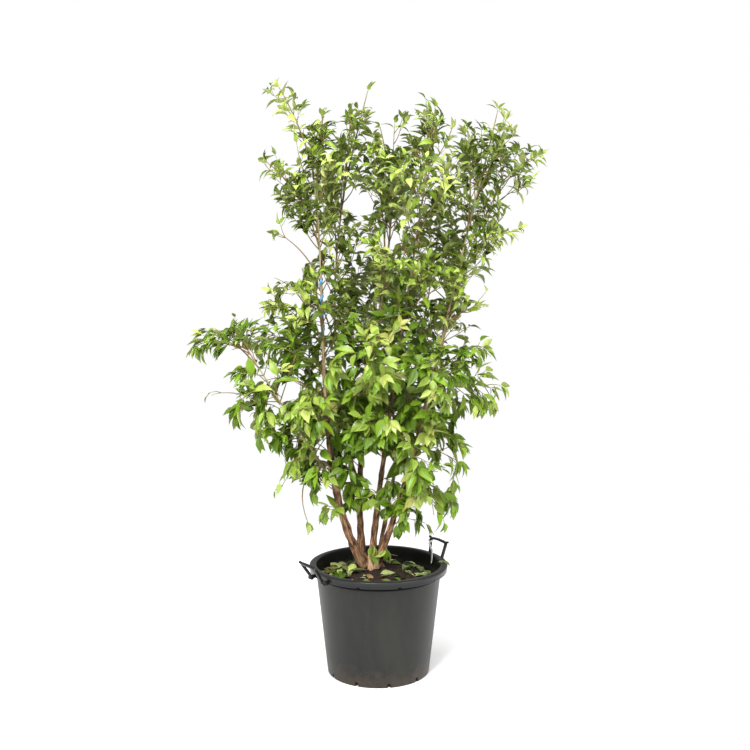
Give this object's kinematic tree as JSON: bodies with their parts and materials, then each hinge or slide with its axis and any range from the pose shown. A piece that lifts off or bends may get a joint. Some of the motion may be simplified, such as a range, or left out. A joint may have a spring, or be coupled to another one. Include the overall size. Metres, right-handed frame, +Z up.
{
  "type": "potted wintersweet shrub",
  "caption": "Tall multi-stemmed wintersweet in full leaf, open and upright with an arm of growth to one side, in a round black nursery pot with two folding handles.",
  "frame": {"origin": "centre of the pot's flat underside, on the pot's own axis, at the level the pot stands on", "axes": "+Z up along the pot's axis; -Y towards the side with the low foliage between the two handles; +X to the right seen from that side"},
  "size_m": [1.2848, 0.6811, 2.1449],
  "materials": {
    "pot": "dull, dusty moulded polypropylene",
    "handle": "smooth moulded polypropylene",
    "compost": "loose, crumbly and matt",
    "bark": "rough, lightly fissured bark",
    "leaf_high": "young leaves, rough and half matt",
    "leaf_low": "full-grown leaves, rough and half matt"
  },
  "bodies": {
    "plant": {"pot": "pot", "compost": "compost", "stool": "bark", "stem_left": "bark", "stem_centre": "bark", "stem_right": "bark", "stem_back": "bark", "stem_thin": "bark", "stem_fork": "bark", "stem_twin": "bark", "bough_left": "bark", "bough_left_arm": "bark", "bough_left_low": "bark", "bough_left_inner": "bark", "crown_left_spike": "leaf_high", "crown_left_peak": "leaf_high", "crown_left_shoulder": "leaf_high", "crown_left_side": "leaf_high", "crown_mid_spike": "leaf_high", "crown_mid_front": "leaf_high", "crown_mid_back": "leaf_high", "crown_back_peak": "leaf_high", "crown_back_rear": "leaf_high", "crown_centre_peak": "leaf_high", "crown_centre_front": "leaf_high", "crown_centre_right": "leaf_high", "crown_right_peak": "leaf_high", "crown_right_inner": "leaf_high", "crown_right_tip": "leaf_high", "crown_right_side": "leaf_high", "crown_thin_top": "leaf_high", "mid_left_front": "leaf_high", "mid_front": "leaf_high", "mid_right_front": "leaf_high", "mid_left_back": "leaf_high", "mid_back": "leaf_high", "mid_right_back": "leaf_high", "mid_right_side": "leaf_high", "left_inner_top": "leaf_high", "left_arm_top": "leaf_low", "left_arm_tip": "leaf_low", "left_arm_mid": "leaf_low", "left_low_tip": "leaf_low", "left_low": "leaf_low", "left_droop": "leaf_low", "left_base": "leaf_low", "lap_left": "leaf_low", "lap_front": "leaf_low", "lap_front_top": "leaf_low", "lap_right": "leaf_low", "lap_right_low": "leaf_low", "right_out": "leaf_low", "right_low_front": "leaf_low", "right_low_side": "leaf_low", "back_low_left": "leaf_low", "back_low_mid": "leaf_low", "back_low_right": "leaf_low"},
    "handle_right": {"handle_right": "handle"},
    "handle_left": {"handle_left": "handle"}
  },
  "joints": [
    {"name": "handle_right", "type": "hinge", "parent": "plant", "child": "handle_right", "pos_m": [0.21472, 0.14483, 0.377], "axis": [-0.5592, 0.829, 0], "range_deg": [-24, 158]},
    {"name": "handle_left", "type": "hinge", "parent": "plant", "child": "handle_left", "pos_m": [-0.21472, -0.14483, 0.377], "axis": [0.5592, -0.829, 0], "range_deg": [-45, 137]}
  ]
}
